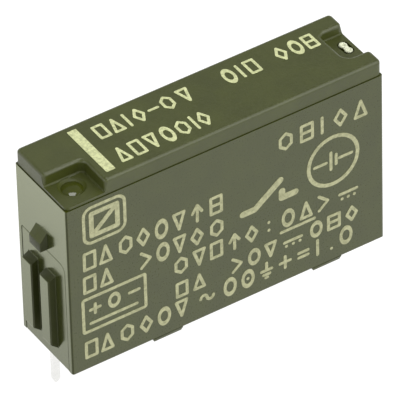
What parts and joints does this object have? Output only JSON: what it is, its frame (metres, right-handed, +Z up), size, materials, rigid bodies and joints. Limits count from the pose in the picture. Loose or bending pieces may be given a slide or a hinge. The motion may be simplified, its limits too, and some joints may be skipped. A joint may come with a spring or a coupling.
{
  "type": "pcb power relay",
  "caption": "Slim single-pole power relay for a circuit board: plastic housing on feet, four tinned pins in one row, coil, armature, card and contact spring inside.",
  "frame": {"origin": "centre of the seat plane under the feet, the face of the circuit board", "axes": "+X along the length from the ribbed end to the plain end, +Y across the width towards the row of pins, +Z up from the board to the lid"},
  "size_m": [0.0205, 0.005, 0.016],
  "materials": {
    "housing": "satin moulded thermoplastic, dark olive",
    "vent_seal": "melted off-white plastic",
    "resin": "dark cured epoxy",
    "tinned_metal": "tin-plated copper",
    "bobbin": "moulded thermoplastic",
    "copper": "enamelled copper wire",
    "tape": "polyester film tape",
    "iron": "plated soft iron",
    "spring_bronze": "rolled bronze strip",
    "silver": "silver alloy",
    "card": "moulded thermoplastic"
  },
  "bodies": {
    "housing": {"case": "housing", "lid": "housing", "base": "housing", "vent_seal": "vent_seal", "sealing_resin": "resin", "coil_pin_1": "tinned_metal", "coil_pin_2": "tinned_metal", "common_terminal": "tinned_metal", "fixed_terminal": "tinned_metal", "bobbin": "bobbin", "winding": "copper", "winding_tape": "tape", "coil_lead_1": "copper", "coil_lead_2": "copper", "core": "iron", "yoke": "iron", "hinge_spring": "spring_bronze", "hinge_spring_rivet": "tinned_metal", "spring_rivet": "tinned_metal", "fixed_contact": "silver"},
    "armature": {"armature": "iron"},
    "card": {"card": "card"},
    "contact_spring": {"moving_spring": "spring_bronze", "moving_contact": "silver"}
  },
  "joints": [
    {"name": "armature_pivot", "type": "hinge", "parent": "housing", "child": "armature", "pos_m": [-0.00819, 0, 0.00223], "axis": [0, 1, 0], "range_deg": [0, 3.9]},
    {"name": "card_slide", "type": "slide", "parent": "housing", "child": "card", "axis": [1, 0, 0], "range_m": [0, 0.000532], "stiffness_N_per_m": 50, "springref_m": -0.002},
    {"name": "spring_flex", "type": "hinge", "parent": "housing", "child": "contact_spring", "pos_m": [0.00729, 0, 0.00265], "axis": [0, 1, 0], "range_deg": [0, 3.94]}
  ],
  "couplings": [
    {"joint": "armature_pivot", "follows": "card_slide", "rad_per_m": 127.88},
    {"joint": "spring_flex", "follows": "card_slide", "rad_per_m": 129.03}
  ]
}
